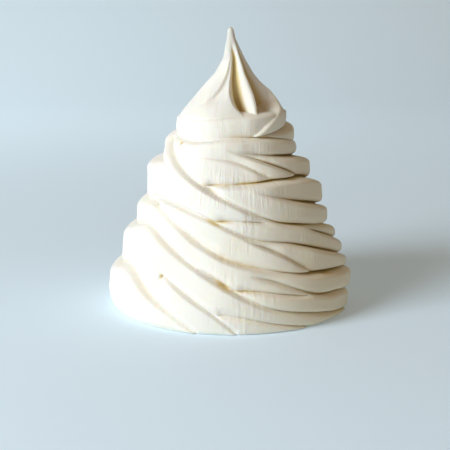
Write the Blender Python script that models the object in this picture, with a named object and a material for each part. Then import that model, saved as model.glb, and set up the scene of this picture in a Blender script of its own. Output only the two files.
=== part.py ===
"""Tall meringue, spread into a swirled cone of folded bands under a gathered, pulled-up tip.

The surface is worked out as a radius for each compass angle and height. Angles are in degrees,
clockwise seen from above, from the right-hand side (+X): 90 is the front (-Y), 180 the left,
270 the back. Folds climb clockwise, and each one is a line on the cone where an upper band laps
over the band below it. Sizes are in millimetres until the mesh is built.
"""

import bpy
import numpy as np

# ---- Driving dimensions ----
TIP_HEIGHT = 194.0
TIP_RADIUS = 1.1
TIP_DOME = 0.4  # rise of the rounded end above it

# Radius of the outermost faces of the cone of bands, by height.
CONE_HEIGHTS = (0, 20, 41, 62, 80, 97, 111, 126, 140)
CONE_RADII = (86.5, 86.5, 78.6, 69.2, 64.9, 55.7, 47.2, 40, 35.5)

# Radius of the gathered cap, by height: a bell that draws out into a thin point.
CAP_HEIGHTS = (112, 136, 142, 151, 163, 173, 187, 192.6, TIP_HEIGHT)
CAP_RADII = (38, 35, 30.8, 24, 13.6, 7.9, 3.1, 2.2, TIP_RADIUS)
CAP_FOOT = 112.0

# The cone leans a little to the right, the cap some more, and its point comes back.
LEAN_HEIGHTS = (0, 50, 112, 125, 142, 163, 173, 187, TIP_HEIGHT)
LEAN_OFFSETS = (0, 2.9, 1.9, 2.0, 2.8, 3.6, 3.7, 1.8, 1.5)

# Flat top edge of the collar, the highest band, which the cap stands on.
COLLAR_TOP = 138.0
COLLAR_TOP_RISE = 1.0  # higher on the right, lower on the left
COLLAR_SHOULDER, COLLAR_SHOULDER_SWING = 4.0, -1.6
COLLAR_SUNK = 12.0

# Bands.
FACE_AT = 0.45  # share of a band's height at which its face has the cone's radius
ROUNDNESS = 2.0  # exponent of the rounded edges, 2 is a quarter ellipse and 1 a bevel
SHOULDER_SHARE, LIP_SHARE = 0.38, 0.48  # most of a band's height that each edge takes
# Round the cone, at these angles: how much of the cone's slope a face has, how far a fold is sunk
# behind the face above it, the most that a band's shoulder and its lip can stand, the exponent of
# the rounded lip, how tall the foot's rounding can be and how far it is tucked in, and how far a lip
# hangs down for each millimetre it stands out.
ROUND_ANGLES = (0, 60, 110, 145, 180, 270, 360)
FACE_LEANS = (0.12, 0.35, 0.75, 0.65, 0.05, 0.2, 0.12)
LAP_DEPTHS = (6.2, 5.2, 4.2, 3.4, 3.8, 5.0, 6.2)
SHOULDERS = (4.6, 2.8, 2.2, 3.0, 8.0, 5.5, 4.6)
LIPS = (7.0, 8.0, 8.0, 6.0, 4.4, 6.0, 7.0)
LIP_ROUNDNESSES = (2.0, 2.0, 1.45, 1.4, 2.0, 2.0, 2.0)
FOOT_LIPS = (3.0, 3.0, 4.0, 9.0, 16.0, 5.0, 3.0)
FOOT_TUCKS = (3.5, 3.5, 3.5, 5.0, 8.0, 4.0, 3.5)
DROOPS = (0.26, 0.14, 0.04, 0.04, 0.13, 0.24, 0.26)
MERGING_BAND = 9.0  # a band lower than this has its face drawn to the one above
THINNEST_BAND = 1e-6  # anything lower is no band at all
RUN_IN = 4.0  # height over which a fold dies away as it runs into another
PAST_END = 1.0  # degrees past its ends where a fold still stops another one
DROOP_FROM = 6.0  # a surface so far behind the cone's face doesn't hang at all
DROOP_STARTS, DROOP_STOPS = (0.0, 8.0), (124.0, 136.0)  # heights between which it fades in and out
HANG_FROM = 0.25  # share of a band's height above which it hangs less and less
FOLD_SOFTNESS = 4.0  # degrees over which a fold line bends
TWO_TURNS = 720  # a fold that runs on past this angle has started a third turn

# Pleats pulled up into the cap. Each is a valley that turns with the cap: "angle" is that of its
# deepest line low down and "swirl" how much further round it gets. "depth" is a share of the cap's
# radius, and "left" and "right" are its widths in degrees up to the crests beside it, of which the
# share "floor" is flat. Low down it has only the share "foot" of those widths. It fades in over the
# few millimetres above "starts".
CAP_PLEATS = (
    dict(angle=73, swirl=17, depth=0.42, left=14, right=34, foot=0.35, starts=0, floor=0.26),
    dict(angle=51, swirl=-6, depth=0.48, left=8, right=44, foot=1.0, starts=0, floor=0.45),
    dict(angle=150, swirl=-48, depth=0.12, left=9, right=26, foot=0.7, starts=142, floor=0.0),
    dict(angle=326, swirl=12, depth=0.20, left=12, right=34, foot=0.7, starts=0, floor=0.2),
    dict(angle=268, swirl=14, depth=0.24, left=11, right=38, foot=0.6, starts=0, floor=0.2),
    dict(angle=208, swirl=10, depth=0.12, left=12, right=34, foot=0.7, starts=0, floor=0.0),
)
CAP_SWIRL_RISE = 10.0  # height over which most of the swirl and of the widening takes place
PLEAT_RISE = 8.0  # height over which a pleat fades in
PLEATS_FADE = (170.0, 190.0)  # heights between which the pleats run out below the tip

# On the left the cap swells out over the collar's top edge: angle, reach round, height and size.
CAP_FLARE_ANGLE, CAP_FLARE_REACH = 140.0, 75.0
CAP_FLARE_TOP, CAP_FLARE = 152.0, 2.2

# Lobe folded off the right of the cap: its crest runs from the cap down and round to the front.
LOBE_HEIGHTS = (123.5, 130, 135, 139, 144.5, 151, 158)
LOBE_ANGLES = (64, 51, 38, 25, 7, 0, 2)
LOBE_RADII = (41, 41.2, 39.8, 37.0, 31.8, 26.4, 18)
LOBE_FOOT_ANGLES = (-70, 0, 15, 45, 64)
LOBE_FOOT_HEIGHTS = (131, 129.5, 126.5, 124.6, 123.5)
LOBE_FALL = 0.09  # millimetres lost for each degree behind the crest
LOBE_RIM, LOBE_RIM_ANGLE = 7.0, 5.0  # how far its front edge drops, over so many degrees
LOBE_LIP = 3.0

# Resolution of the surface, and of the solid that is kept.
COLUMNS = 300
ROWS = 190
KEPT_TRIANGLES = 9000
MILLIMETRES_IN_METRE = 1000.0

MERINGUE_COLOUR = (0.86, 0.80, 0.68, 1.0)
MERINGUE_ROUGHNESS = 0.75

# Fold lines. Each has its stations (angle, height), rounded where they meet. A line may run on past
# a full turn. Each entry of "stops_on" is (name, turn, side): the line keeps to that side of the
# named line, which is read so many degrees further round, and dies away as it runs into it. "fades"
# gives (angle, degrees) over which the line dies away at its low end and at its high end. "weak"
# gives the angle at which it is shallower, how far round that reaches and the share that is lost.
# "lips" gives (angle, height): how tall the lip over it can be, where that isn't as in LIPS.
FOLDS = {
    "collar": dict(
        stations=(
            (136, 103), (150, 105), (180, 105), (205, 106), (360, 117), (408, 122), (450, 123),
            (485, 119), (540, 122.5), (690, 130), (720, 129.5), (740, 126), (785, 123),
        ),
        stops_on=(("great", 0, "below"), ("collar", -360, "above")),
        fades=((138, 34), ()),
        weak=(362, 50, 0.7),
    ),
    "great": dict(
        stations=(
            (-175, 0), (0, 57), (64, 69), (90, 83), (128, 101), (157, 115), (180, 125),
        ),
        stops_on=(("collar", 360, "below"),),
        lips=((45, 7.4), (75, 3.6), (140, 3.0), (180, 4.4)),
    ),
    "middle": dict(
        stations=(
            (-65, 0), (0, 27), (30, 32), (50, 34.5), (70, 39.5), (94, 47), (146, 80),
            (180, 76), (200, 77.5), (360, 106), (430, 112), (455, 116),
        ),
        fades=((), (455, 36)),
        lips=((60, 8.0), (95, 10.5), (115, 9.5), (140, 6.5), (180, 4.4), (270, 6.0), (360, 7.0)),
    ),
    "lower": dict(
        stations=(
            (12, 0), (72, 15.5), (99, 36), (146, 65),
            (180, 56), (200, 57.5), (360, 89), (385, 95), (418, 95.5), (446, 93.5), (490, 93.5),
        ),
        stops_on=(("great", -360, "above"),),
        lips=((72, 4.5), (88, 7.5), (100, 8.0), (114, 3.6), (180, 4.4), (270, 6.0), (360, 7.0)),
    ),
    "left": dict(
        stations=(
            (104, 0), (121, 15), (140, 27), (147, 38),
            (180, 29), (200, 31), (360, 71), (405, 81), (438, 91),
        ),
        fades=((), (438, 36)),
        lips=((104, 4.5), (147, 4.0), (180, 4.4), (270, 6.0), (360, 7.0)),
    ),
    "tongue": dict(
        stations=(
            (-98, 0), (0, 35), (24, 44), (57, 56),
            (80, 59), (101, 71.5), (126, 80.5), (146, 83.5), (160, 80),
        ),
        stops_on=(("middle", 0, "above"),),
        lips=((30, 7.2), (65, 4.0), (146, 3.2)),
    ),
    "wedge": dict(
        stations=((50, 66.5), (66, 69), (80, 71.5), (110, 71.5)),
        stops_on=(("tongue", 0, "above"), ("great", 0, "below")),
    ),
    "under_great": dict(
        stations=((-135, 0), (0, 46), (34, 60), (68, 74)),
        stops_on=(("great", 0, "below"),),
    ),
    "right_low": dict(
        stations=((-25, 0), (0, 10), (28, 18.4), (44, 18.8), (70, 34.5), (84, 39)),
        fades=((), (84, 18)),
    ),
    "right_foot": dict(
        stations=((40, 21), (52, 21.5), (79, 28.5), (96, 29)),
        stops_on=(("lower", 0, "above"), ("right_low", 0, "below")),
    ),
    "left_foot": dict(
        stations=((86, 0), (96, 14), (132, 41)),
        fades=((), (131, 22)),
        lips=((86, 7.0), (105, 5.5), (132, 3.0)),
    ),
    "front_foot": dict(
        stations=((50, 0), (70, 6), (84, 12), (100, 14)),
        stops_on=(("left_foot", 0, "above"),),
    ),
    "notch": dict(
        stations=((40, 32), (50, 38.5), (62, 49), (72, 55), (88, 62)),
        stops_on=(("middle", 0, "above"),),
        fades=((), (86, 18)),
    ),
    "soft": dict(
        stations=((50, 93), (63, 98.5), (76, 105), (84, 108), (96, 109.5), (118, 111)),
        stops_on=(("lower", 360, "above"),),
        fades=((), (116, 40)),
        weak=(70, 60, 0.4),
    ),
    "right_high": dict(
        stations=((18, 90), (38, 100), (74, 111), (98, 117)),
        stops_on=(("lower", 360, "above"),),
        fades=((), (96, 26)),
    ),
}


def smoothstep(low, high, value):
    """0 below low, 1 above high, with an even rise between."""
    share = np.clip((value - low) / (high - low), 0.0, 1.0)
    return share * share * (3.0 - 2.0 * share)


def degrees_between(angle, other):
    """How far the angle is round from the other, from -180 to 180."""
    return (angle - other + 180.0) % 360.0 - 180.0


def edge_drop(share, roundness=ROUNDNESS):
    """How far a rounded edge has dropped: 0 on the face, 1 at its rim. share runs from 0 to 1."""
    share = np.clip(share, 0.0, 1.0)
    return 1.0 - (1.0 - share**roundness) ** (1.0 / roundness)


def fold_line(stations, angle):
    """Height of a fold line: straight runs between its stations, rounded where they meet."""
    angles = [station[0] for station in stations]
    heights = [station[1] for station in stations]
    slopes = [
        (heights[i + 1] - heights[i]) / (angles[i + 1] - angles[i]) for i in range(len(angles) - 1)
    ]
    height = heights[0] + slopes[0] * (angle - angles[0])
    for knee, before, after in zip(angles[1:], slopes, slopes[1:]):
        bend = FOLD_SOFTNESS * np.logaddexp(0.0, (angle - knee) / FOLD_SOFTNESS)
        height = height + (after - before) * bend
    return height


def fold_course(name, angle):
    """(height, strength, lip) of the named fold. Its strength is 1 where it is fully formed and 0
    past its ends, and its lip is the most that the lip over it can stand."""
    fold = FOLDS[name]
    first, last = fold["stations"][0][0], fold["stations"][-1][0]
    height = fold_line(fold["stations"], angle)
    strength = ((angle >= first) & (angle <= last)).astype(float)
    for other, turn, side in fold.get("stops_on", ()):
        stations = FOLDS[other]["stations"]
        along = angle + turn
        beside = (along >= stations[0][0] - PAST_END) & (along <= stations[-1][0] + PAST_END)
        clear = height - fold_line(stations, along)
        if side == "below":
            clear = -clear
        strength = strength * np.where(beside, smoothstep(0.0, RUN_IN, clear), 1.0)
    low, high = fold.get("fades", ((), ()))
    if low:
        strength = strength * smoothstep(low[0], low[0] + low[1], angle)
    if high:
        strength = strength * (1.0 - smoothstep(high[0] - high[1], high[0], angle))
    if "weak" in fold:
        middle, reach, loss = fold["weak"]
        strength = strength * (1.0 - loss * (1.0 - smoothstep(0.0, reach, np.abs(angle - middle))))
    if "lips" in fold:
        lip = np.interp(angle, *zip(*fold["lips"]))
    else:
        lip = np.interp(angle % 360.0, ROUND_ANGLES, LIPS)
    return np.maximum(height, 0.0), strength, lip


def folds_round(angles):
    """(heights, strengths, lips) of every fold at every angle, a row for each pass of a fold."""
    passes = []
    for name, fold in FOLDS.items():
        for turn in (-360, 0, 360):
            along = angles + turn + 360.0 * (fold["stations"][-1][0] > TWO_TURNS)
            course = fold_course(name, along)
            if course[1].max() > 0:
                passes.append(course)
    return np.array(passes).transpose(1, 0, 2)


def cone_radius(height):
    return np.interp(height, CONE_HEIGHTS, CONE_RADII)


def collar_top(angle):
    return COLLAR_TOP + COLLAR_TOP_RISE * np.cos(np.radians(angle))


def band_profile(height, folds, lips, angle):
    """Radius at each height, for one angle, of bands that lie between the given fold heights, and
    how freely the surface hangs there: 1 on a lip, 0 on a shoulder."""
    rightward = np.cos(np.radians(angle))
    lean, depth, shoulder_most, roundness, foot_lip, foot_tuck = (
        np.interp(angle, ROUND_ANGLES, sizes)
        for sizes in (FACE_LEANS, LAP_DEPTHS, SHOULDERS, LIP_ROUNDNESSES, FOOT_LIPS, FOOT_TUCKS)
    )
    upward = np.argsort(folds, kind="stable")
    lines = np.concatenate([[0.0], folds[upward], [collar_top(angle)]])
    lips = np.concatenate([[foot_lip], lips[upward]])
    radius = np.zeros_like(height)
    hang = np.zeros_like(height)
    face_above = cone_radius(lines[-1])
    for low, high, lip_most in zip(lines[-2::-1], lines[:0:-1], lips[::-1]):
        tall = high - low
        if tall < THINNEST_BAND:
            continue
        middle = low + FACE_AT * tall
        face = cone_radius(middle)
        face = face_above + (face - face_above) * smoothstep(0.0, MERGING_BAND, tall)
        inside = (height >= low) & (height <= high)
        here = height[inside]
        if high == lines[-1]:
            shoulder = COLLAR_SHOULDER + COLLAR_SHOULDER_SWING * rightward
            sunk_top = COLLAR_SUNK
        else:
            shoulder = min(SHOULDER_SHARE * tall, shoulder_most)
            sunk_top = max(face - face_above - lean * (cone_radius(low) - cone_radius(high)), 0.0)
            sunk_top += depth
        lip = min(LIP_SHARE * tall, lip_most)
        tuck = depth if low > 0.0 else foot_tuck
        surface = face + lean * (cone_radius(here) - cone_radius(middle))
        drop = sunk_top * edge_drop(1.0 - (high - here) / shoulder)
        drop = drop + tuck * edge_drop(1.0 - (here - low) / lip, roundness)
        radius[inside] = surface - drop
        hang[inside] = 1.0 - smoothstep(HANG_FROM, 1.0, (here - low) / tall)
        face_above = face
    return radius, hang


def bands(angles, heights):
    """Radius of the cone of bands, and how freely it hangs, on the grid of angles and heights."""
    lines, strengths, lips = folds_round(angles)
    grid = np.zeros((len(angles), 2, len(heights)))
    for column, angle in enumerate(angles):
        strength = strengths[:, column]
        # From the strongest fold to the weakest, each joins in by its own strength.
        order = np.argsort(-strength, kind="stable")
        steps = np.append(strength[order], 0.0)
        count = int((strength >= 1.0).sum())
        share_left = 1.0
        while share_left > 0.0:
            share = share_left - steps[count]
            if share > 0.0:
                kept = order[:count]
                profile = band_profile(heights, lines[kept, column], lips[kept, column], angle)
                grid[column] += share * np.array(profile)
            share_left = steps[count]
            count += 1
    return grid[:, 0], grid[:, 1]


def cap(angles, heights):
    """Radius of the gathered cap: a bell, pleated by valleys that run up to its point."""
    angle, height = np.meshgrid(angles, heights, indexing="ij")
    pleats = np.zeros_like(angle)
    turned = 1.0 - np.exp(-np.clip(height - COLLAR_TOP, 0, None) / CAP_SWIRL_RISE)
    for pleat in CAP_PLEATS:
        away = degrees_between(angle, pleat["angle"] + pleat["swirl"] * turned)
        width = np.where(away > 0, pleat["left"], pleat["right"])
        width = width * (pleat["foot"] + (1.0 - pleat["foot"]) * turned)
        here = 1.0 - smoothstep(pleat["floor"], 1.0, np.abs(away) / width)
        pleats += pleat["depth"] * here * smoothstep(0, PLEAT_RISE, height - pleat["starts"])
    pleats = pleats * (1.0 - smoothstep(*PLEATS_FADE, height))
    flare = 1.0 - smoothstep(0.0, CAP_FLARE_REACH, np.abs(degrees_between(angle, CAP_FLARE_ANGLE)))
    flare = CAP_FLARE * flare * (1.0 - smoothstep(COLLAR_TOP, CAP_FLARE_TOP, height))
    radius = np.interp(height, CAP_HEIGHTS, CAP_RADII) * (1.0 - pleats) + flare
    return np.where(height >= CAP_FOOT, radius, 0.0)


def lobe(angles, heights):
    """Radius of the fold that sweeps from the right of the cap down across the collar."""
    angle, height = np.meshgrid(angles, heights, indexing="ij")
    angle = degrees_between(angle, 0.0)
    foot = np.interp(angle, LOBE_FOOT_ANGLES, LOBE_FOOT_HEIGHTS)
    behind = np.interp(height, LOBE_HEIGHTS, LOBE_ANGLES) - angle
    crest = np.interp(height, LOBE_HEIGHTS, LOBE_RADII)
    radius = crest - LOBE_FALL * np.clip(behind, 0.0, None)
    radius = radius - LOBE_RIM * edge_drop(-behind / LOBE_RIM_ANGLE)
    radius = radius - LOBE_LIP * edge_drop(1.0 - (height - foot) / LOBE_LIP)
    kept = (behind > -LOBE_RIM_ANGLE) & (height >= foot) & (height <= LOBE_HEIGHTS[-1])
    return np.where(kept, radius, 0.0)


def surface_points():
    """Grid of points over the whole surface, in millimetres: [angle, height, xyz]."""
    angles = np.arange(COLUMNS) * 360.0 / COLUMNS
    heights = np.linspace(0.0, TIP_HEIGHT, ROWS)
    banded, hang = bands(angles, heights)
    radius = np.maximum(banded, cap(angles, heights))
    radius = np.maximum(radius, lobe(angles, heights))
    droop = np.interp(angles, ROUND_ANGLES, DROOPS)[:, None] * hang
    droop = droop * smoothstep(*DROOP_STARTS, heights) * (1.0 - smoothstep(*DROOP_STOPS, heights))
    stands_out = radius - cone_radius(heights) + DROOP_FROM
    turn = -np.radians(angles)[:, None]
    points = np.empty(radius.shape + (3,))
    points[..., 0] = radius * np.cos(turn) + np.interp(heights, LEAN_HEIGHTS, LEAN_OFFSETS)
    points[..., 1] = radius * np.sin(turn)
    points[..., 2] = heights - droop * stands_out
    return points


def meringue_mesh(points):
    """Closed mesh over the grid of points, flat below and pointed above, standing on the origin."""
    columns, rows = points.shape[:2]
    corners = points.reshape(-1, 3)
    foot = np.array([[0.0, 0.0, 0.0]])
    tip = points[:, -1].mean(axis=0, keepdims=True) + [[0.0, 0.0, TIP_DOME]]
    corners = np.concatenate([corners, foot, tip])
    foot_at, tip_at = columns * rows, columns * rows + 1
    faces = []
    for column in range(columns):
        here, there = column * rows, ((column + 1) % columns) * rows
        for row in range(rows - 1):
            faces.append((here + row, here + row + 1, there + row + 1, there + row))
        faces.append((there, foot_at, here))
        faces.append((here + rows - 1, tip_at, there + rows - 1))
    middle = (corners.min(axis=0) + corners.max(axis=0)) / 2.0
    corners = corners - [middle[0], middle[1], corners[:, 2].min()]
    corners = corners / MILLIMETRES_IN_METRE
    mesh = bpy.data.meshes.new("meringue")
    mesh.from_pydata(corners.tolist(), [], faces)
    mesh.shade_smooth()
    return mesh


def meringue_material():
    material = bpy.data.materials.new("meringue")
    material.use_nodes = True
    shader = material.node_tree.nodes["Principled BSDF"]
    shader.inputs["Base Color"].default_value = MERINGUE_COLOUR
    shader.inputs["Roughness"].default_value = MERINGUE_ROUGHNESS
    shader.inputs["Metallic"].default_value = 0.0
    return material


def clear_scene():
    for item in list(bpy.data.objects):
        bpy.data.objects.remove(item)


def build():
    clear_scene()
    mesh = meringue_mesh(surface_points())
    mesh.materials.append(meringue_material())
    meringue = bpy.data.objects.new("meringue", mesh)
    bpy.context.scene.collection.objects.link(meringue)
    made_of = 2 * COLUMNS * ROWS
    lighter = meringue.modifiers.new("fewer_faces", "DECIMATE")
    lighter.ratio = KEPT_TRIANGLES / made_of


build()
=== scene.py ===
"""A tall swirled meringue on a plain pale floor, in soft window light from the left.

The fine meringue is worked out as a radius for each compass angle and height, from the same fold
lines as the CAD solid that it replaces, with ripples, pockets and a dry crust added. Angles are in
degrees, clockwise seen from above, from the right-hand side (+X): 90 is the front (-Y), 180 the
left, 270 the back. The surface is in millimetres until its mesh is built.
"""

import math

import bpy
import numpy as np
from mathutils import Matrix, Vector


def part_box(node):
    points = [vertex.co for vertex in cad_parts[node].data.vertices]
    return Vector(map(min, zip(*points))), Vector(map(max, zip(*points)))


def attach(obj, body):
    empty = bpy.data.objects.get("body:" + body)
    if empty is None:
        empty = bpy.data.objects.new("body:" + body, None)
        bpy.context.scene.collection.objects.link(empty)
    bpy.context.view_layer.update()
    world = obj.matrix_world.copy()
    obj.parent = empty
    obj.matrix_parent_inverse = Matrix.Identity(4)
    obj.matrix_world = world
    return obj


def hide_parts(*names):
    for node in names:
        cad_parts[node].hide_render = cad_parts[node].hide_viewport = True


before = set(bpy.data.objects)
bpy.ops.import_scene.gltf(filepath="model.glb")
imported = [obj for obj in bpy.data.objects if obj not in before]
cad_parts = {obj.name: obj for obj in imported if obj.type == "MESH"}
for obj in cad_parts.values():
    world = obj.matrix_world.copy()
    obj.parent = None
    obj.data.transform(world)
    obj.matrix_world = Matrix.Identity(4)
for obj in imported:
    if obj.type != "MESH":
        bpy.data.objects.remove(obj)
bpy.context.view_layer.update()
NODE = "meringue"

# ---- The meringue's surface, in millimetres and degrees ----
TIP_HEIGHT = 194.0
TIP_RADIUS = 1.1
TIP_DOME = 0.4  # rise of the rounded end above it

# Radius of the outermost faces of the cone of bands, by height.
CONE_HEIGHTS = (0, 20, 41, 62, 80, 97, 111, 126, 140)
CONE_RADII = (86.5, 86.5, 78.6, 69.2, 64.9, 55.7, 47.2, 40, 35.5)

# Radius of the gathered cap, by height: a bell that draws out into a thin point.
CAP_HEIGHTS = (112, 136, 142, 151, 163, 173, 187, 192.6, TIP_HEIGHT)
CAP_RADII = (38, 35, 30.8, 24, 13.6, 7.9, 3.1, 2.2, TIP_RADIUS)
CAP_FOOT = 112.0

# The cone leans a little to the right, the cap some more, and its point comes back.
LEAN_HEIGHTS = (0, 50, 112, 125, 142, 163, 173, 187, TIP_HEIGHT)
LEAN_OFFSETS = (0, 2.9, 1.9, 2.0, 2.8, 3.6, 3.7, 1.8, 1.5)

# Flat top edge of the collar, the highest band, which the cap stands on.
COLLAR_TOP = 138.0
COLLAR_TOP_RISE = 1.0  # higher on the right, lower on the left
COLLAR_SHOULDER, COLLAR_SHOULDER_SWING = 4.0, -1.6
COLLAR_SUNK = 12.0

# Bands.
FACE_AT = 0.45  # share of a band's height at which its face has the cone's radius
ROUNDNESS = 2.0  # exponent of the rounded edges, 2 is a quarter ellipse and 1 a bevel
SHOULDER_SHARE, LIP_SHARE = 0.38, 0.48  # most of a band's height that each edge takes
# Round the cone, at these angles: how much of the cone's slope a face has, how far a fold is sunk
# behind the face above it, the most that a band's shoulder and its lip can stand, the exponent of
# the rounded lip, how tall the foot's rounding can be and how far it is tucked in, and how far a
# lip hangs down for each millimetre it stands out.
ROUND_ANGLES = (0, 60, 110, 145, 180, 270, 360)
FACE_LEANS = (0.12, 0.35, 0.75, 0.65, 0.05, 0.2, 0.12)
LAP_DEPTHS = (6.2, 5.2, 4.2, 3.4, 3.8, 5.0, 6.2)
SHOULDERS = (4.6, 2.8, 2.2, 3.0, 8.0, 5.5, 4.6)
LIPS = (7.0, 8.0, 8.0, 6.0, 4.4, 6.0, 7.0)
LIP_ROUNDNESSES = (2.0, 2.0, 1.45, 1.4, 2.0, 2.0, 2.0)
FOOT_LIPS = (3.0, 3.0, 4.0, 9.0, 16.0, 5.0, 3.0)
FOOT_TUCKS = (3.5, 3.5, 3.5, 5.0, 8.0, 4.0, 3.5)
DROOPS = (0.26, 0.14, 0.04, 0.04, 0.13, 0.24, 0.26)
MERGING_BAND = 9.0  # a band lower than this has its face drawn to the one above
THINNEST_BAND = 1e-6  # anything lower is no band at all
RUN_IN = 4.0  # height over which a fold dies away as it runs into another
PAST_END = 1.0  # degrees past its ends where a fold still stops another one
DROOP_FROM = 6.0  # a surface so far behind the cone's face doesn't hang at all
DROOP_STARTS, DROOP_STOPS = (0.0, 8.0), (124.0, 136.0)  # heights between which it fades in and out
HANG_FROM = 0.25  # share of a band's height above which it hangs less and less
FOLD_SOFTNESS = 4.0  # degrees over which a fold line bends
TWO_TURNS = 720  # a fold that runs on past this angle has started a third turn

# Pleats pulled up into the cap. Each is a valley that turns with the cap: "angle" is that of its
# deepest line low down and "swirl" how much further round it gets. "depth" is a share of the cap's
# radius, and "left" and "right" are its widths in degrees up to the crests beside it, of which the
# share "floor" is flat. Low down it has only the share "foot" of those widths. It fades in over the
# few millimetres above "starts".
CAP_PLEATS = (
    dict(angle=73, swirl=17, depth=0.42, left=14, right=34, foot=0.35, starts=0, floor=0.26),
    dict(angle=51, swirl=-6, depth=0.48, left=8, right=44, foot=1.0, starts=0, floor=0.45),
    dict(angle=150, swirl=-48, depth=0.12, left=9, right=26, foot=0.7, starts=142, floor=0.0),
    dict(angle=326, swirl=12, depth=0.20, left=12, right=34, foot=0.7, starts=0, floor=0.2),
    dict(angle=268, swirl=14, depth=0.24, left=11, right=38, foot=0.6, starts=0, floor=0.2),
    dict(angle=208, swirl=10, depth=0.12, left=12, right=34, foot=0.7, starts=0, floor=0.0),
)
CAP_SWIRL_RISE = 10.0  # height over which most of the swirl and of the widening takes place
PLEAT_RISE = 8.0  # height over which a pleat fades in
PLEATS_FADE = (170.0, 190.0)  # heights between which the pleats run out below the tip

# On the left the cap swells out over the collar's top edge: angle, reach round, height and size.
CAP_FLARE_ANGLE, CAP_FLARE_REACH = 140.0, 75.0
CAP_FLARE_TOP, CAP_FLARE = 152.0, 2.2

# Lobe folded off the right of the cap: its crest runs from the cap down and round to the front.
LOBE_HEIGHTS = (123.5, 130, 135, 139, 144.5, 151, 158)
LOBE_ANGLES = (64, 51, 38, 25, 7, 0, 2)
LOBE_RADII = (41, 41.2, 39.8, 37.0, 31.8, 26.4, 18)
LOBE_FOOT_ANGLES = (-70, 0, 15, 45, 64)
LOBE_FOOT_HEIGHTS = (131, 129.5, 126.5, 124.6, 123.5)
LOBE_FALL = 0.09  # millimetres lost for each degree behind the crest
LOBE_RIM, LOBE_RIM_ANGLE = 7.0, 5.0  # how far its front edge drops, over so many degrees
LOBE_LIP = 3.0

# Small pockets where a fold begins: angle, height, radius and depth.
POCKETS = (
    (144.5, 79.0, 1.7, 3.6),
    (141, 118, 1.2, 2.4),
    (137, 115.5, 1.0, 1.2),
    (133, 113, 0.9, 0.5),
    (122, 119, 0.9, 0.8),
    (125.5, 34.6, 1.4, 2.4),
)

# Stretches where a fold is pressed in deeper: its name, the angle along its line, how far round it
# reaches, its height and its depth.
GROOVES = (
    ("middle", 113, 12, 1.5, 2.2),
    ("lower", 97, 12, 1.5, 2.4),
    ("great", 48, 40, 1.4, 2.2),
    ("middle", 34, 42, 1.5, 2.4),
    ("tongue", 30, 44, 1.3, 1.6),
    ("right_low", 36, 30, 1.4, 2.2),
    ("lower", 48, 36, 1.4, 1.8),
    ("left", 376, 44, 1.4, 2.4),
    ("lower", 402, 46, 1.4, 2.4),
    ("middle", 388, 46, 1.3, 2.0),
    ("collar", 745, 40, 1.3, 1.4),
    ("right_high", 44, 26, 1.3, 1.6),
    ("under_great", 24, 26, 1.2, 1.4),
)
GROOVES_BELOW = 132.0  # no fold is pressed in deeper above this height

# Stretches of fold painted with warm shade: its name, the angle along its line, how far round it
# reaches, its height and how strong the painted shade is, from 0 to 1.
FOLD_SHADES = (
    ("lower", 94, 7, 1.8, 0.9),
    ("tongue", 101, 9, 1.5, 0.75),
    ("wedge", 96, 12, 1.2, 0.7),
    ("middle", 90, 40, 1.8, 0.45),
    ("lower", 402, 8, 1.4, 0.9),
    ("middle", 388, 8, 1.6, 0.8),
    ("middle", 34, 9, 1.8, 1.0),
    ("lower", 460, 30, 1.0, 0.55),
    ("right_foot", 84, 22, 1.0, 0.6),
    ("soft", 110, 12, 1.0, 0.3),
)

# Creases get painted warm shade by how far they lie behind the fullest surface near them.
NEAR_ROUND, NEAR_UP = 3.0, 4.0  # degrees round and millimetres up or down that count as near
CREASE_SHADE_DEPTHS = (2.5, 9.0)  # so far behind, the painted shade begins and is full
CREASES_BELOW = 134.0  # higher up, it is the pleats that get painted shade
PALER_ANGLES = (55.0, 120.0)  # degrees away from the shaded right, over which the painted crease shade gets paler
PALER_LOSS = 0.7  # share of their painted shade that those facing the window lack
BARE_CAP = 136.0  # height above which the cap stands clear of the cone
PLEAT_SHADE_DEPTHS = (0.10, 0.40)  # depths of pleat at which painted shade begins and is full
PLEAT_SHADE = 0.8  # how dark the painted shade in the deepest pleat is
COVERED = 1.0  # a pleat is hidden where something stands out over it by more than this
FULL_PIT = 2.4  # depth at which a pocket's painted shade is full
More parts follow.
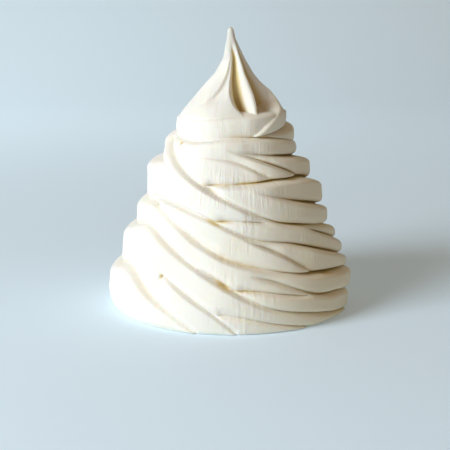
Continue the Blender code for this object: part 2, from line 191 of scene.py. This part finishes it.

# Fold lines. Each has its stations (angle, height), rounded where they meet. A line may run on past
# a full turn. Each entry of "stops_on" is (name, turn, side): the line keeps to that side of the
# named line, which is read so many degrees further round, and dies away as it runs into it. "fades"
# gives (angle, degrees) over which the line dies away at its low end and at its high end. "weak"
# gives the angle at which it is shallower, how far round that reaches and the share that is lost.
# "lips" gives (angle, height): how tall the lip over it can be, where that isn't as in LIPS.
FOLDS = {
    "collar": dict(
        stations=(
            (136, 103), (150, 105), (180, 105), (205, 106), (360, 117), (408, 122), (450, 123),
            (485, 119), (540, 122.5), (690, 130), (720, 129.5), (740, 126), (785, 123),
        ),
        stops_on=(("great", 0, "below"), ("collar", -360, "above")),
        fades=((138, 34), ()),
        weak=(362, 50, 0.7),
    ),
    "great": dict(
        stations=(
            (-175, 0), (0, 57), (64, 69), (90, 83), (128, 101), (157, 115), (180, 125),
        ),
        stops_on=(("collar", 360, "below"),),
        lips=((45, 7.4), (75, 3.6), (140, 3.0), (180, 4.4)),
    ),
    "middle": dict(
        stations=(
            (-65, 0), (0, 27), (30, 32), (50, 34.5), (70, 39.5), (94, 47), (146, 80),
            (180, 76), (200, 77.5), (360, 106), (430, 112), (455, 116),
        ),
        fades=((), (455, 36)),
        lips=((60, 8.0), (95, 10.5), (115, 9.5), (140, 6.5), (180, 4.4), (270, 6.0), (360, 7.0)),
    ),
    "lower": dict(
        stations=(
            (12, 0), (72, 15.5), (99, 36), (146, 65),
            (180, 56), (200, 57.5), (360, 89), (385, 95), (418, 95.5), (446, 93.5), (490, 93.5),
        ),
        stops_on=(("great", -360, "above"),),
        lips=((72, 4.5), (88, 7.5), (100, 8.0), (114, 3.6), (180, 4.4), (270, 6.0), (360, 7.0)),
    ),
    "left": dict(
        stations=(
            (104, 0), (121, 15), (140, 27), (147, 38),
            (180, 29), (200, 31), (360, 71), (405, 81), (438, 91),
        ),
        fades=((), (438, 36)),
        lips=((104, 4.5), (147, 4.0), (180, 4.4), (270, 6.0), (360, 7.0)),
    ),
    "tongue": dict(
        stations=(
            (-98, 0), (0, 35), (24, 44), (57, 56),
            (80, 59), (101, 71.5), (126, 80.5), (146, 83.5), (160, 80),
        ),
        stops_on=(("middle", 0, "above"),),
        lips=((30, 7.2), (65, 4.0), (146, 3.2)),
    ),
    "wedge": dict(
        stations=((50, 66.5), (66, 69), (80, 71.5), (110, 71.5)),
        stops_on=(("tongue", 0, "above"), ("great", 0, "below")),
    ),
    "under_great": dict(
        stations=((-135, 0), (0, 46), (34, 60), (68, 74)),
        stops_on=(("great", 0, "below"),),
    ),
    "right_low": dict(
        stations=((-25, 0), (0, 10), (28, 18.4), (44, 18.8), (70, 34.5), (84, 39)),
        fades=((), (84, 18)),
    ),
    "right_foot": dict(
        stations=((40, 21), (52, 21.5), (79, 28.5), (96, 29)),
        stops_on=(("lower", 0, "above"), ("right_low", 0, "below")),
    ),
    "left_foot": dict(
        stations=((86, 0), (96, 14), (132, 41)),
        fades=((), (131, 22)),
        lips=((86, 7.0), (105, 5.5), (132, 3.0)),
    ),
    "front_foot": dict(
        stations=((50, 0), (70, 6), (84, 12), (100, 14)),
        stops_on=(("left_foot", 0, "above"),),
    ),
    "notch": dict(
        stations=((40, 32), (50, 38.5), (62, 49), (72, 55), (88, 62)),
        stops_on=(("middle", 0, "above"),),
        fades=((), (86, 18)),
    ),
    "soft": dict(
        stations=((50, 93), (63, 98.5), (76, 105), (84, 108), (96, 109.5), (118, 111)),
        stops_on=(("lower", 360, "above"),),
        fades=((), (116, 40)),
        weak=(70, 60, 0.4),
    ),
    "right_high": dict(
        stations=((18, 90), (38, 100), (74, 111), (98, 117)),
        stops_on=(("lower", 360, "above"),),
        fades=((), (96, 26)),
    ),
}

# Resolution of the surface, and of the mesh that is kept.
COLUMNS = 1000
ROWS = 560
KEPT_TRIANGLES = 186000
CREASE_SHADE_ATTRIBUTE = "crease_shade"  # what the mesh calls the painted crease shade of its points

# Hand-made unevenness: cells round the cone, height of a cell, and how far it moves the surface.
RIPPLES = ((9, 30.0, 0.9), (26, 12.0, 0.35), (64, 5.0, 0.12))
RIPPLE_SLANT = 0.25  # millimetres that a ripple climbs for each degree
RIPPLE_SEED = 11
CALM_FOOT = 4.0  # height over which the ripples fade in above the flat underside
CALM_CAP, CALM_SHARE = (130.0, 190.0), 0.8  # heights over which they lose this share


def smoothstep(low, high, value):
    """0 below low, 1 above high, with an even rise between."""
    share = np.clip((value - low) / (high - low), 0.0, 1.0)
    return share * share * (3.0 - 2.0 * share)


def degrees_between(angle, other):
    """How far the angle is round from the other, from -180 to 180."""
    return (angle - other + 180.0) % 360.0 - 180.0


def edge_drop(share, roundness=ROUNDNESS):
    """How far a rounded edge has dropped: 0 on the face, 1 at its rim. share runs from 0 to 1."""
    share = np.clip(share, 0.0, 1.0)
    return 1.0 - (1.0 - share**roundness) ** (1.0 / roundness)


def fold_line(stations, angle):
    """Height of a fold line: straight runs between its stations, rounded where they meet."""
    angles = [station[0] for station in stations]
    heights = [station[1] for station in stations]
    slopes = [
        (heights[i + 1] - heights[i]) / (angles[i + 1] - angles[i]) for i in range(len(angles) - 1)
    ]
    height = heights[0] + slopes[0] * (angle - angles[0])
    for knee, before, after in zip(angles[1:], slopes, slopes[1:]):
        bend = FOLD_SOFTNESS * np.logaddexp(0.0, (angle - knee) / FOLD_SOFTNESS)
        height = height + (after - before) * bend
    return height


def fold_course(name, angle):
    """(height, strength, lip) of the named fold. Its strength is 1 where it is fully formed and 0
    past its ends, and its lip is the most that the lip over it can stand."""
    fold = FOLDS[name]
    first, last = fold["stations"][0][0], fold["stations"][-1][0]
    height = fold_line(fold["stations"], angle)
    strength = ((angle >= first) & (angle <= last)).astype(float)
    for other, turn, side in fold.get("stops_on", ()):
        stations = FOLDS[other]["stations"]
        along = angle + turn
        beside = (along >= stations[0][0] - PAST_END) & (along <= stations[-1][0] + PAST_END)
        clear = height - fold_line(stations, along)
        if side == "below":
            clear = -clear
        strength = strength * np.where(beside, smoothstep(0.0, RUN_IN, clear), 1.0)
    low, high = fold.get("fades", ((), ()))
    if low:
        strength = strength * smoothstep(low[0], low[0] + low[1], angle)
    if high:
        strength = strength * (1.0 - smoothstep(high[0] - high[1], high[0], angle))
    if "weak" in fold:
        middle, reach, loss = fold["weak"]
        strength = strength * (1.0 - loss * (1.0 - smoothstep(0.0, reach, np.abs(angle - middle))))
    if "lips" in fold:
        lip = np.interp(angle, *zip(*fold["lips"]))
    else:
        lip = np.interp(angle % 360.0, ROUND_ANGLES, LIPS)
    return np.maximum(height, 0.0), strength, lip


def folds_round(angles):
    """(heights, strengths, lips) of every fold at every angle, a row for each pass of a fold."""
    passes = []
    for name, fold in FOLDS.items():
        for turn in (-360, 0, 360):
            along = angles + turn + 360.0 * (fold["stations"][-1][0] > TWO_TURNS)
            course = fold_course(name, along)
            if course[1].max() > 0:
                passes.append(course)
    return np.array(passes).transpose(1, 0, 2)


def cone_radius(height):
    return np.interp(height, CONE_HEIGHTS, CONE_RADII)


def collar_top(angle):
    return COLLAR_TOP + COLLAR_TOP_RISE * np.cos(np.radians(angle))


def band_profile(height, folds, lips, angle):
    """Radius at each height, for one angle, of bands that lie between the given fold heights, and
    how freely the surface hangs there: 1 on a lip, 0 on a shoulder."""
    rightward = np.cos(np.radians(angle))
    lean, depth, shoulder_most, roundness, foot_lip, foot_tuck = (
        np.interp(angle, ROUND_ANGLES, sizes)
        for sizes in (FACE_LEANS, LAP_DEPTHS, SHOULDERS, LIP_ROUNDNESSES, FOOT_LIPS, FOOT_TUCKS)
    )
    upward = np.argsort(folds, kind="stable")
    lines = np.concatenate([[0.0], folds[upward], [collar_top(angle)]])
    lips = np.concatenate([[foot_lip], lips[upward]])
    radius = np.zeros_like(height)
    hang = np.zeros_like(height)
    face_above = cone_radius(lines[-1])
    for low, high, lip_most in zip(lines[-2::-1], lines[:0:-1], lips[::-1]):
        tall = high - low
        if tall < THINNEST_BAND:
            continue
        middle = low + FACE_AT * tall
        face = cone_radius(middle)
        face = face_above + (face - face_above) * smoothstep(0.0, MERGING_BAND, tall)
        inside = (height >= low) & (height <= high)
        here = height[inside]
        if high == lines[-1]:
            shoulder = COLLAR_SHOULDER + COLLAR_SHOULDER_SWING * rightward
            sunk_top = COLLAR_SUNK
        else:
            shoulder = min(SHOULDER_SHARE * tall, shoulder_most)
            sunk_top = max(face - face_above - lean * (cone_radius(low) - cone_radius(high)), 0.0)
            sunk_top += depth
        lip = min(LIP_SHARE * tall, lip_most)
        tuck = depth if low > 0.0 else foot_tuck
        surface = face + lean * (cone_radius(here) - cone_radius(middle))
        drop = sunk_top * edge_drop(1.0 - (high - here) / shoulder)
        drop = drop + tuck * edge_drop(1.0 - (here - low) / lip, roundness)
        radius[inside] = surface - drop
        hang[inside] = 1.0 - smoothstep(HANG_FROM, 1.0, (here - low) / tall)
        face_above = face
    return radius, hang


def bands(angles, heights):
    """Radius of the cone of bands, and how freely it hangs, on the grid of angles and heights."""
    lines, strengths, lips = folds_round(angles)
    grid = np.zeros((len(angles), 2, len(heights)))
    for column, angle in enumerate(angles):
        strength = strengths[:, column]
        # From the strongest fold to the weakest, each joins in by its own strength.
        order = np.argsort(-strength, kind="stable")
        steps = np.append(strength[order], 0.0)
        count = int((strength >= 1.0).sum())
        share_left = 1.0
        while share_left > 0.0:
            share = share_left - steps[count]
            if share > 0.0:
                kept = order[:count]
                profile = band_profile(heights, lines[kept, column], lips[kept, column], angle)
                grid[column] += share * np.array(profile)
            share_left = steps[count]
            count += 1
    return grid[:, 0], grid[:, 1]


def cap(angles, heights):
    """Radius of the gathered cap, and how deep in a pleat each point lies, from 0 to 1."""
    angle, height = np.meshgrid(angles, heights, indexing="ij")
    pleats = np.zeros_like(angle)
    turned = 1.0 - np.exp(-np.clip(height - COLLAR_TOP, 0, None) / CAP_SWIRL_RISE)
    for pleat in CAP_PLEATS:
        away = degrees_between(angle, pleat["angle"] + pleat["swirl"] * turned)
        width = np.where(away > 0, pleat["left"], pleat["right"])
        width = width * (pleat["foot"] + (1.0 - pleat["foot"]) * turned)
        here = 1.0 - smoothstep(pleat["floor"], 1.0, np.abs(away) / width)
        pleats += pleat["depth"] * here * smoothstep(0, PLEAT_RISE, height - pleat["starts"])
    pleats = pleats * (1.0 - smoothstep(*PLEATS_FADE, height))
    flare = 1.0 - smoothstep(0.0, CAP_FLARE_REACH, np.abs(degrees_between(angle, CAP_FLARE_ANGLE)))
    flare = CAP_FLARE * flare * (1.0 - smoothstep(COLLAR_TOP, CAP_FLARE_TOP, height))
    radius = np.interp(height, CAP_HEIGHTS, CAP_RADII) * (1.0 - pleats) + flare
    return np.where(height >= CAP_FOOT, radius, 0.0), pleats


def lobe(angles, heights):
    """Radius of the fold that sweeps from the right of the cap down across the collar."""
    angle, height = np.meshgrid(angles, heights, indexing="ij")
    angle = degrees_between(angle, 0.0)
    foot = np.interp(angle, LOBE_FOOT_ANGLES, LOBE_FOOT_HEIGHTS)
    behind = np.interp(height, LOBE_HEIGHTS, LOBE_ANGLES) - angle
    crest = np.interp(height, LOBE_HEIGHTS, LOBE_RADII)
    radius = crest - LOBE_FALL * np.clip(behind, 0.0, None)
    radius = radius - LOBE_RIM * edge_drop(-behind / LOBE_RIM_ANGLE)
    radius = radius - LOBE_LIP * edge_drop(1.0 - (height - foot) / LOBE_LIP)
    kept = (behind > -LOBE_RIM_ANGLE) & (height >= foot) & (height <= LOBE_HEIGHTS[-1])
    return np.where(kept, radius, 0.0)


def ripples(angles, heights):
    """Smooth seeded unevenness, drawn out along the climbing bands. Random values at the corners
    of slanted cells are blended between."""
    angle, height = np.meshgrid(angles, heights, indexing="ij")
    random = np.random.default_rng(RIPPLE_SEED)
    total = np.zeros_like(angle)
    for around, tall, size in RIPPLES:
        # The slant over a full turn is a whole number of cells, so the ripples close up.
        climb = round(360.0 * RIPPLE_SLANT / tall)
        # Levels of corners for the full height and for the slant, with a few to spare.
        levels = int(TIP_HEIGHT / tall) + 2 * climb + 4
        knots = random.uniform(-1.0, 1.0, (around, levels))
        across = angle / 360.0 * around
        up = height / tall - angle / 360.0 * climb + climb + 1
        left, low = np.floor(across).astype(int), np.floor(up).astype(int)
        part_a = smoothstep(0.0, 1.0, across - left)
        part_u = smoothstep(0.0, 1.0, up - low)

        def knot(step_a, step_u):
            """The random value at a corner of each point's cell."""
            column = left + step_a
            turned = column // around
            return knots[column % around, low + step_u + turned * climb]

        lower = knot(0, 0) * (1 - part_a) + knot(1, 0) * part_a
        upper = knot(0, 1) * (1 - part_a) + knot(1, 1) * part_a
        total += size * (lower * (1 - part_u) + upper * part_u)
    return total


def pockets(angles, heights, radius):
    """Depth of the small pockets where folds begin."""
    angle, height = np.meshgrid(angles, heights, indexing="ij")
    total = np.zeros_like(angle)
    for at_angle, at_height, size, depth in POCKETS:
        round_by = np.radians(degrees_between(angle, at_angle)) * radius
        away = np.hypot(round_by, height - at_height) / size
        total = np.maximum(total, depth * np.exp(-away**2))
    return total


def along_folds(stretches, angles, heights):
    """Most that any of the stretches of fold amounts to at each point."""
    angle, height = np.meshgrid(angles, heights, indexing="ij")
    total = np.zeros_like(angle)
    for name, middle, reach, tall, most in stretches:
        away = degrees_between(angle, middle)
        off_line = (height - fold_line(FOLDS[name]["stations"], middle + away)) / tall
        fullness = 1.0 - smoothstep(0.0, reach, np.abs(away))
        total = np.maximum(total, most * fullness * np.exp(-off_line**2))
    return total


def widest_near(values, reach_angle, reach_height):
    """Largest value within reach steps of each grid point."""
    result = values.copy()
    for step in range(1, reach_angle + 1):
        result = np.maximum(result, np.maximum(np.roll(values, step, 0), np.roll(values, -step, 0)))
    widest = result.copy()
    for step in range(1, reach_height + 1):
        widest[:, step:] = np.maximum(widest[:, step:], result[:, :-step])
        widest[:, :-step] = np.maximum(widest[:, :-step], result[:, step:])
    return widest


def smoothed(values):
    """The grid of values, each averaged with its neighbours, so that a crease is no sharper than
    the grid can follow."""
    values = (np.roll(values, 1, axis=0) + 2.0 * values + np.roll(values, -1, axis=0)) / 4.0
    padded = np.pad(values, ((0, 0), (1, 1)), mode="edge")
    return (padded[:, :-2] + 2.0 * values + padded[:, 2:]) / 4.0


def painted_crease_shade(angles, heights, radius, capped, pleats, pits):
    """How strong the painted shade is at each point, from 0 to 1: in creases, pleats, pockets and
    stretches of fold.
    """
    profile = np.interp(heights, CAP_HEIGHTS, CAP_RADII)
    profile = np.maximum(cone_radius(heights) * (heights < BARE_CAP), profile)
    stands = radius - profile
    steps_round, steps_up = int(NEAR_ROUND / 360.0 * COLUMNS), int(NEAR_UP / TIP_HEIGHT * ROWS)
    sunk = widest_near(stands, steps_round, steps_up) - stands
    # Painted shade deepens with how far a crease is sunk, and is paler on the side facing the
    # window.
    creased = smoothstep(*CREASE_SHADE_DEPTHS, sunk) * (heights < CREASES_BELOW)
    paler = PALER_LOSS * smoothstep(*PALER_ANGLES, np.abs(degrees_between(angles, 0.0)))
    creased = creased * (1.0 - paler)[:, None]
    pleated = smoothstep(*PLEAT_SHADE_DEPTHS, pleats) * (heights >= BARE_CAP)
    pleated = PLEAT_SHADE * pleated * (radius <= capped + COVERED)
    pitted = np.clip(pits / FULL_PIT, 0.0, 1.0)
    fold_shaded = along_folds(FOLD_SHADES, angles, heights)
    return np.maximum.reduce([creased, pleated, pitted, fold_shaded])


def surface():
    """(points, shade): the grid of points in millimetres, and how strong the painted crease shade
    is at each one.
    """
    angles = np.arange(COLUMNS) * 360.0 / COLUMNS
    heights = np.linspace(0.0, TIP_HEIGHT, ROWS)
    capped, pleats = cap(angles, heights)
    banded, hang = bands(angles, heights)
    radius = np.maximum(banded, capped)
    radius = np.maximum(radius, lobe(angles, heights))
    calm = smoothstep(0.0, CALM_FOOT, heights)
    calm = calm * (1.0 - CALM_SHARE * smoothstep(*CALM_CAP, heights))
    radius = smoothed(radius + ripples(angles, heights) * calm)
    pits = pockets(angles, heights, radius)
    radius = radius - pits - along_folds(GROOVES, angles, heights) * (heights < GROOVES_BELOW)
    crease_shade = painted_crease_shade(angles, heights, radius, capped, pleats, pits)
    droop = np.interp(angles, ROUND_ANGLES, DROOPS)[:, None] * hang
    droop = droop * smoothstep(*DROOP_STARTS, heights) * (1.0 - smoothstep(*DROOP_STOPS, heights))
    stands_out = radius - cone_radius(heights) + DROOP_FROM
    turn = -np.radians(angles)[:, None]
    points = np.empty(radius.shape + (3,))
    points[..., 0] = radius * np.cos(turn) + np.interp(heights, LEAN_HEIGHTS, LEAN_OFFSETS)
    points[..., 1] = radius * np.sin(turn)
    points[..., 2] = heights - droop * stands_out
    return points, crease_shade


def meringue_mesh(points, crease_shade):
    """Closed mesh over the grid, flat below and pointed above, fitted to the CAD solid's box."""
    columns, rows = points.shape[:2]
    foot_at, tip_at = columns * rows, columns * rows + 1
    tip = points[:, -1].mean(axis=0, keepdims=True) + [[0.0, 0.0, TIP_DOME]]
    corners = np.concatenate([points.reshape(-1, 3), [[0.0, 0.0, 0.0]], tip])
    low, high = corners.min(axis=0), corners.max(axis=0)
    box_low, box_high = np.array(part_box(NODE)[0]), np.array(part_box(NODE)[1])
    # The flat underside lies on the floor, even where the solid's dips a hair below it.
    box_low[2] = max(box_low[2], 0.0)
    corners = box_low + (corners - low) / (high - low) * (box_high - box_low)
    grid = np.arange(columns * rows).reshape(columns, rows)
    beside = np.roll(grid, -1, axis=0)
    quads = np.stack([grid[:, :-1], grid[:, 1:], beside[:, 1:], beside[:, :-1]], axis=-1)
    below = np.stack([beside[:, 0], np.full(columns, foot_at), grid[:, 0]], axis=-1)
    above = np.stack([grid[:, -1], np.full(columns, tip_at), beside[:, -1]], axis=-1)
    loops = np.concatenate([quads.reshape(-1), below.reshape(-1), above.reshape(-1)])
    sizes = np.concatenate([np.full(columns * (rows - 1), 4), np.full(2 * columns, 3)])
    mesh = bpy.data.meshes.new("meringue_surface")
    mesh.vertices.add(len(corners))
    mesh.vertices.foreach_set("co", corners.astype(np.float32).reshape(-1))
    mesh.loops.add(len(loops))
    mesh.loops.foreach_set("vertex_index", loops.astype(np.int32))
    mesh.polygons.add(len(sizes))
    starts = np.concatenate([[0], np.cumsum(sizes)[:-1]])
    mesh.polygons.foreach_set("loop_start", starts.astype(np.int32))
    attribute = mesh.attributes.new(CREASE_SHADE_ATTRIBUTE, "FLOAT", "POINT")
    attribute.data.foreach_set("value", np.append(crease_shade, [0.0, 0.0]).astype(np.float32))
    mesh.update(calc_edges=True)
    mesh.validate()
    mesh.shade_smooth()
    return mesh


def make_meringue():
    fine = bpy.data.objects.new("fine", meringue_mesh(*surface()))
    bpy.context.scene.collection.objects.link(fine)
    lighter = fine.modifiers.new("fewer_faces", "DECIMATE")
    lighter.ratio = KEPT_TRIANGLES / (2.0 * COLUMNS * ROWS)
    graph = bpy.context.evaluated_depsgraph_get()
    kept = bpy.data.meshes.new_from_object(fine.evaluated_get(graph))
    dense = fine.data
    bpy.data.objects.remove(fine)
    bpy.data.meshes.remove(dense)
    kept.name = "meringue_swirl"
    piece = bpy.data.objects.new("meringue_swirl", kept)
    bpy.context.scene.collection.objects.link(piece)
    piece.data.materials.clear()
    piece.data.materials.append(meringue_material())
    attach(piece, "root")
    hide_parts(NODE)


# ---- Materials ----
# The crust's colours, from its palest to the painted shade of its darkest creases.
CREAM = (0.925, 0.885, 0.80, 1.0)
CREAM_WARM = (0.915, 0.866, 0.755, 1.0)
# Painted shade: a warmer, darker cream on the right side, which the window light leaves in shade.
SHADED_SIDE_CREAM = (0.90, 0.80, 0.61, 1.0)
SHADED_SIDE_PLACES = (-0.005, 0.075)  # metres to the right, between which the painted shade of the shaded right side comes in
SHADE_OCHRE = (0.78, 0.63, 0.33, 1.0)
SHADE_UMBER = (0.48, 0.37, 0.17, 1.0)
OCHRE_SHADES, UMBER_SHADES = (0.15, 0.75), (0.7, 1.0)  # painted crease shade over which each one comes in
CRUST_ROUGHNESS, CRUST_SPECULAR = 0.78, 0.25
# Light spreads under the crust: its share, how far red, green and blue reach, and how many metres
# one of those units is.
GLOW_SHARE, GLOW_REACH, GLOW_SCALE = 0.5, (1.0, 0.7, 0.4), 0.004

# Noise in the crust: its scale, detail and roughness. Patches of it fade in between two values.
PATCH_NOISE, PATCH_VALUES = (28.0, 3.0, 0.5), (0.35, 0.7)
TICK_NOISE = (1.0, 2.0, 0.5)
TICK_PATCH_NOISE, TICK_PATCH_VALUES = (45.0, 2.0, 0.5), (0.35, 0.65)
GRAIN_NOISE = (900.0, 4.0, 0.6)
TICKS_ROUND = 40.0  # ticks for each radian round the cone
TICKS_UP = 70.0  # and for each metre of height
TICK_RELIEF = 0.0007  # metres
GRAIN_RELIEF, GRAIN_STRENGTH = 0.0004, 0.25

BACKDROP = (0.75, 0.88, 0.97, 1.0)
BACKDROP_GLOW = 0.12
BACKDROP_ROUGHNESS, BACKDROP_SPECULAR = 0.9, 0.1


def shader_of(material):
    material.use_nodes = True
    return material.node_tree.nodes["Principled BSDF"]


def meringue_material():
    material = bpy.data.materials.new("meringue_crust")
    shader = shader_of(material)
    nodes, links = material.node_tree.nodes, material.node_tree.links
    place = nodes.new("ShaderNodeTexCoord").outputs["Object"]

    def noise(scale, detail, roughness, where=place):
        node = nodes.new("ShaderNodeTexNoise")
        node.inputs["Scale"].default_value = scale
        node.inputs["Detail"].default_value = detail
        node.inputs["Roughness"].default_value = roughness
        links.new(where, node.inputs["Vector"])
        return node.outputs["Fac"]

    def ramp(source, low, high):
        node = nodes.new("ShaderNodeMapRange")
        node.interpolation_type = "SMOOTHSTEP"
        node.inputs["From Min"].default_value = low
        node.inputs["From Max"].default_value = high
        links.new(source, node.inputs["Value"])
        return node.outputs["Result"]

    def vector(operation, first, second=None):
        node = nodes.new("ShaderNodeVectorMath")
        node.operation = operation
        links.new(first, node.inputs[0])
        if isinstance(second, tuple):
            node.inputs[1].default_value = second
        elif second is not None:
            links.new(second, node.inputs[1])
        return node.outputs["Vector"]

    def mix(share, first, second):
        node = nodes.new("ShaderNodeMix")
        node.data_type = "RGBA"
        # The sockets of its factor and of its two colours.
        for source, socket in zip((share, first, second), (0, 6, 7)):
            if isinstance(source, tuple):
                node.inputs[socket].default_value = source
            else:
                links.new(source, node.inputs[socket])
        return node.outputs[2]

    def bump(height, relief):
        node = nodes.new("ShaderNodeBump")
        node.inputs["Distance"].default_value = relief
        links.new(height, node.inputs["Height"])
        return node

    crease_shade = nodes.new("ShaderNodeAttribute")
    crease_shade.attribute_name = CREASE_SHADE_ATTRIBUTE
    colour = mix(ramp(noise(*PATCH_NOISE), *PATCH_VALUES), CREAM, CREAM_WARM)
    # Painted shade: the right side, away from the window, turns to the warmer, darker cream.
    split = nodes.new("ShaderNodeSeparateXYZ")
    links.new(place, split.inputs["Vector"])
    colour = mix(ramp(split.outputs["X"], *SHADED_SIDE_PLACES), colour, SHADED_SIDE_CREAM)
    # Painted shade, ochre and then umber, in creases, pleats and pockets.
    colour = mix(ramp(crease_shade.outputs["Fac"], *OCHRE_SHADES), colour, SHADE_OCHRE)
    colour = mix(ramp(crease_shade.outputs["Fac"], *UMBER_SHADES), colour, SHADE_UMBER)
    links.new(colour, shader.inputs["Base Color"])
    shader.inputs["Roughness"].default_value = CRUST_ROUGHNESS
    shader.inputs["Specular IOR Level"].default_value = CRUST_SPECULAR
    shader.inputs["Subsurface Weight"].default_value = GLOW_SHARE
    shader.inputs["Subsurface Radius"].default_value = GLOW_REACH
    shader.inputs["Subsurface Scale"].default_value = GLOW_SCALE

    # Faint upright ticks left by the spreading, even all round, in patches.
    outward = vector("NORMALIZE", vector("MULTIPLY", place, (1.0, 1.0, 0.0)))
    outward = vector("MULTIPLY", outward, (TICKS_ROUND, TICKS_ROUND, 0.0))
    upward = vector("MULTIPLY", place, (0.0, 0.0, TICKS_UP))
    ticks = bump(noise(*TICK_NOISE, where=vector("ADD", outward, upward)), TICK_RELIEF)
    links.new(ramp(noise(*TICK_PATCH_NOISE), *TICK_PATCH_VALUES), ticks.inputs["Strength"])

    # Fine dry grain.
    grain = bump(noise(*GRAIN_NOISE), GRAIN_RELIEF)
    grain.inputs["Strength"].default_value = GRAIN_STRENGTH
    links.new(ticks.outputs["Normal"], grain.inputs["Normal"])
    links.new(grain.outputs["Normal"], shader.inputs["Normal"])
    return material


def backdrop_material():
    material = bpy.data.materials.new("backdrop")
    shader = shader_of(material)
    shader.inputs["Base Color"].default_value = BACKDROP
    shader.inputs["Emission Color"].default_value = BACKDROP
    shader.inputs["Emission Strength"].default_value = BACKDROP_GLOW
    shader.inputs["Roughness"].default_value = BACKDROP_ROUGHNESS
    shader.inputs["Specular IOR Level"].default_value = BACKDROP_SPECULAR
    return material


# ---- Stage, light and camera, in metres ----
# The floor runs flat from far in front, then sweeps up in a quarter circle and ends as a wall.
FLOOR_HALF_WIDTH = 30.0
FLOOR_FRONT = -30.0
SWEEP_START = 1.3  # behind the meringue
SWEEP_RADIUS = 1.6
SWEEP_STEPS = 24
WALL_TOP = 4.5

# Soft light from a low window on the front left, and one on the wall behind, stronger on its left.
WINDOW = dict(
    place=(-1.50, -1.10, 0.94), target=(0.0, 0.0, 0.09),
    width=1.0, height=1.0, power=43.0, colour=(0.84, 0.92, 1.0),
)
WALL_LIGHT = dict(
    place=(-0.9, 0.8, 1.1), target=(-0.8, 2.6, 0.1),
    width=1.6, height=0.5, power=10.0, colour=(0.84, 0.94, 1.0),
)
ROOM_COLOUR, ROOM_STRENGTH = (1.0, 0.69, 0.38, 1.0), 0.22

CAMERA_PLACE = (0.0, -0.780, 0.228)
CAMERA_DOWN, CAMERA_LEFT = 12.5, 0.256  # degrees
CAMERA_LENS, CAMERA_SENSOR = 89.5, 36.0  # millimetres


def make_backdrop():
    """Pale floor that sweeps up into a wall behind, with no line between them."""
    profile = [(FLOOR_FRONT, 0.0)]
    for step in range(SWEEP_STEPS + 1):
        turn = math.pi / 2 * step / SWEEP_STEPS
        profile.append(
            (SWEEP_START + SWEEP_RADIUS * math.sin(turn), SWEEP_RADIUS * (1.0 - math.cos(turn)))
        )
    profile.append((SWEEP_START + SWEEP_RADIUS, WALL_TOP))
    corners, faces = [], []
    for y, z in profile:
        corners += [(-FLOOR_HALF_WIDTH, y, z), (FLOOR_HALF_WIDTH, y, z)]
    for step in range(len(profile) - 1):
        first = 2 * step
        faces.append((first, first + 1, first + 3, first + 2))
    mesh = bpy.data.meshes.new("backdrop")
    mesh.from_pydata(corners, [], faces)
    mesh.shade_smooth()
    mesh.materials.append(backdrop_material())
    backdrop = bpy.data.objects.new("backdrop", mesh)
    bpy.context.scene.collection.objects.link(backdrop)


def aim(thing, target):
    thing.rotation_euler = (Vector(target) - thing.location).to_track_quat("-Z", "Y").to_euler()


def area_light(name, place, target, width, height, power, colour):
    lamp = bpy.data.lights.new(name, "AREA")
    lamp.shape = "RECTANGLE"
    lamp.size, lamp.size_y = width, height
    lamp.energy = power
    lamp.color = colour
    light = bpy.data.objects.new(name, lamp)
    light.location = place
    bpy.context.scene.collection.objects.link(light)
    aim(light, target)


def make_light():
    area_light("window", **WINDOW)
    area_light("back", **WALL_LIGHT)
    world = bpy.data.worlds.new("room")
    world.use_nodes = True
    room = world.node_tree.nodes["Background"]
    room.inputs["Color"].default_value = ROOM_COLOUR
    room.inputs["Strength"].default_value = ROOM_STRENGTH
    bpy.context.scene.world = world


def make_camera():
    lens = bpy.data.cameras.new("camera")
    lens.lens = CAMERA_LENS
    lens.sensor_width = CAMERA_SENSOR
    camera = bpy.data.objects.new("camera", lens)
    camera.location = CAMERA_PLACE
    camera.rotation_euler = (math.radians(90.0 - CAMERA_DOWN), 0.0, math.radians(CAMERA_LEFT))
    bpy.context.scene.collection.objects.link(camera)
    bpy.context.scene.camera = camera


make_meringue()
make_backdrop()
make_light()
make_camera()
bpy.context.scene.view_settings.view_transform = "Standard"
